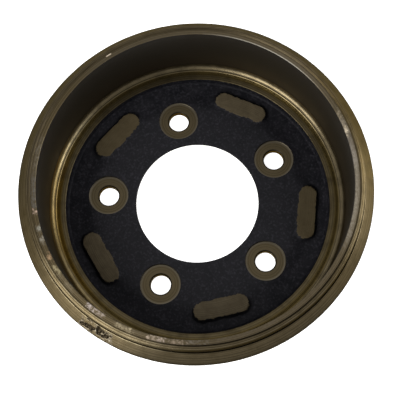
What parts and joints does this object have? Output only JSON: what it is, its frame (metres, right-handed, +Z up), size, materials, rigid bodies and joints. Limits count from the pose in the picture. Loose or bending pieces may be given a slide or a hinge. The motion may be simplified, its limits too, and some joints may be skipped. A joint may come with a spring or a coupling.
{
  "type": "brake drum",
  "caption": "Cast-iron brake drum: a flat web with a centre bore, stud holes, nut seats and milled hub pads inside, a turned friction surface and a stepped rim with a sloping brim.",
  "frame": {"origin": "centre of the wheel face, on the drum's axis, at the bottom of the part", "axes": "+Z up the centre bore, towards the open end; +Y through the first stud hole; the drum stands on its wheel face"},
  "size_m": [0.2604, 0.2604, 0.069],
  "materials": {
    "cast_iron": "turned grey iron under an olive-brown rust-preventive film, with the as-cast web painted black"
  },
  "bodies": {
    "root": {"brake_drum": "cast_iron"}
  },
  "joints": []
}
